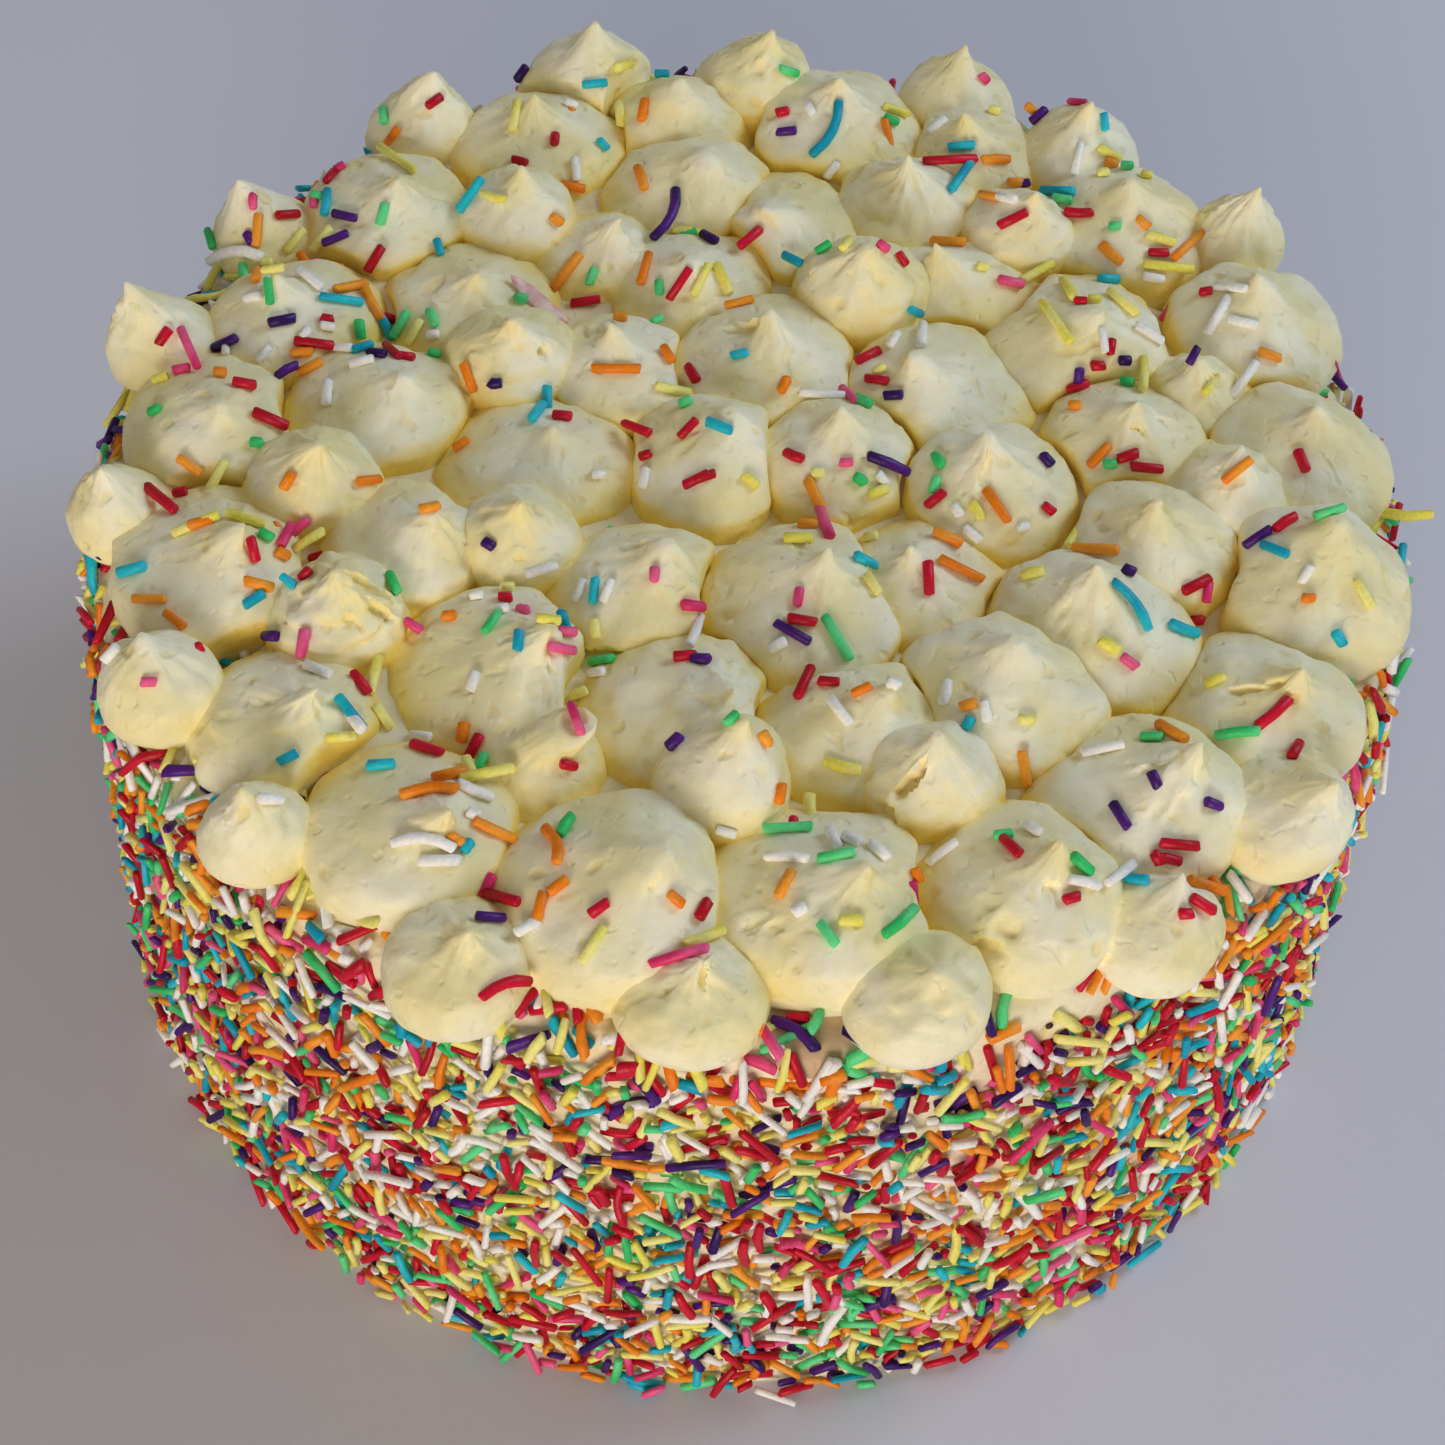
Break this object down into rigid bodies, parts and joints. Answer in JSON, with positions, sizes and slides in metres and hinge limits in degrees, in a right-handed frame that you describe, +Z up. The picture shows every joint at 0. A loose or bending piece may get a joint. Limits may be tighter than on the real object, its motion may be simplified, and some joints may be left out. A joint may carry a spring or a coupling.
{
  "type": "rainbow cake",
  "caption": "Round iced layer-height cake with a coat of mixed rod sprinkles on its side and a top crowded with piped buttercream dollops.",
  "frame": {"origin": "centre of the round underside, the flat face that the cake stands on", "axes": "+Z up from the underside to the piped top; +Y to the far side and +X to the right as the cake is seen"},
  "size_m": [0.2222, 0.2215, 0.1205],
  "materials": {
    "sprinkled_icing": "pale icing under a dense coat of red, orange, yellow, green, turquoise, purple, pink and white rod sprinkles",
    "buttercream": "pale yellow whipped buttercream, satin, with fine air bubbles"
  },
  "bodies": {
    "root": {"cake_body": "sprinkled_icing", "piped_icing_top": "buttercream"}
  },
  "joints": []
}
